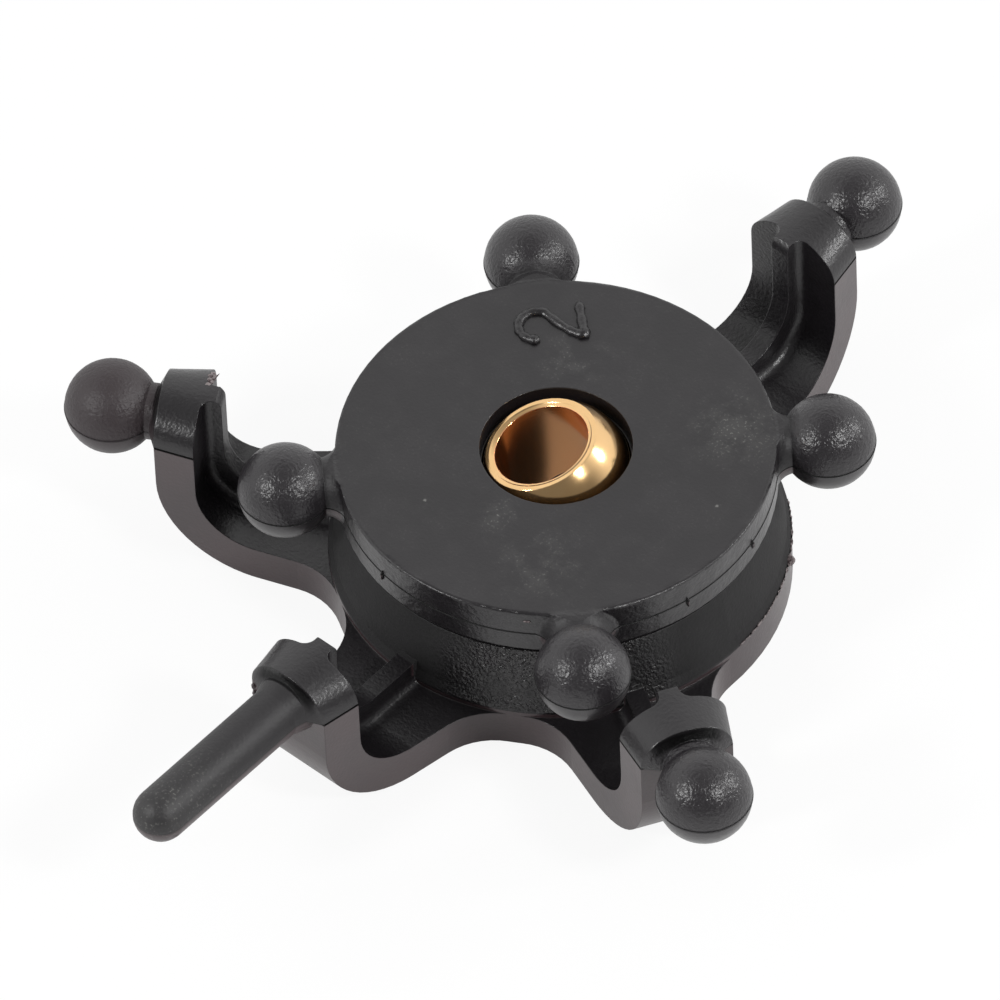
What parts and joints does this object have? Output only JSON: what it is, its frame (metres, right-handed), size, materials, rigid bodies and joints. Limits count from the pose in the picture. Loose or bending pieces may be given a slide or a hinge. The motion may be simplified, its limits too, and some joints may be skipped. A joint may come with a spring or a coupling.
{
  "type": "helicopter swashplate",
  "caption": "Swashplate for a small model helicopter: a rotor plate turns on a ball bearing in a fixed plate and tilts on a brass ball.",
  "frame": {"origin": "centre of the pivot ball, in its shaft bore", "axes": "+Z along the rotor plate's spin axis, up through its disc; the guide pin points to -Y; +X makes the frame right-handed"},
  "size_m": [0.0276, 0.035, 0.0065],
  "materials": {
    "black_plastic": "moulded glass-filled nylon, black, satin",
    "brass": "turned and polished",
    "bearing_steel": "ground",
    "seat_plastic": "natural, satin"
  },
  "bodies": {
    "fixed_plate": {"fixed_plate": "black_plastic", "bearing_outer_race": "bearing_steel", "bearing_shield_top": "bearing_steel", "bearing_shield_bottom": "bearing_steel"},
    "rotor_plate": {"rotor_plate": "black_plastic", "bearing_inner_race": "bearing_steel", "retaining_ring": "bearing_steel", "seat_retainer": "black_plastic"},
    "bearing_cage": {"bearing_cage": "seat_plastic", "bearing_ball_01": "bearing_steel", "bearing_ball_02": "bearing_steel", "bearing_ball_03": "bearing_steel", "bearing_ball_04": "bearing_steel", "bearing_ball_05": "bearing_steel", "bearing_ball_06": "bearing_steel", "bearing_ball_07": "bearing_steel", "bearing_ball_08": "bearing_steel", "bearing_ball_09": "bearing_steel", "bearing_ball_10": "bearing_steel", "bearing_ball_11": "bearing_steel", "bearing_ball_12": "bearing_steel"},
    "ball_seat": {"ball_seat": "seat_plastic"},
    "pivot_ball": {"pivot_ball": "brass"}
  },
  "joints": [
    {"name": "rotor_spin", "type": "hinge", "parent": "fixed_plate", "child": "rotor_plate", "pos_m": [0, 0, 0], "axis": [0, 0, 1], "continuous": true},
    {"name": "cage_spin", "type": "hinge", "parent": "fixed_plate", "child": "bearing_cage", "pos_m": [0, 0, 0], "axis": [0, 0, 1], "continuous": true},
    {"name": "seat_turn", "type": "hinge", "parent": "rotor_plate", "child": "ball_seat", "pos_m": [0, 0, 0], "axis": [0, 0, 1], "continuous": true},
    {"name": "ball_tilt", "type": "hinge", "parent": "ball_seat", "child": "pivot_ball", "pos_m": [0, 0, 0], "axis": [0.6481, -0.7615, 0], "range_deg": [-36.7, 2.3]}
  ],
  "couplings": [
    {"joint": "cage_spin", "follows": "rotor_spin", "ratio": 0.45}
  ]
}
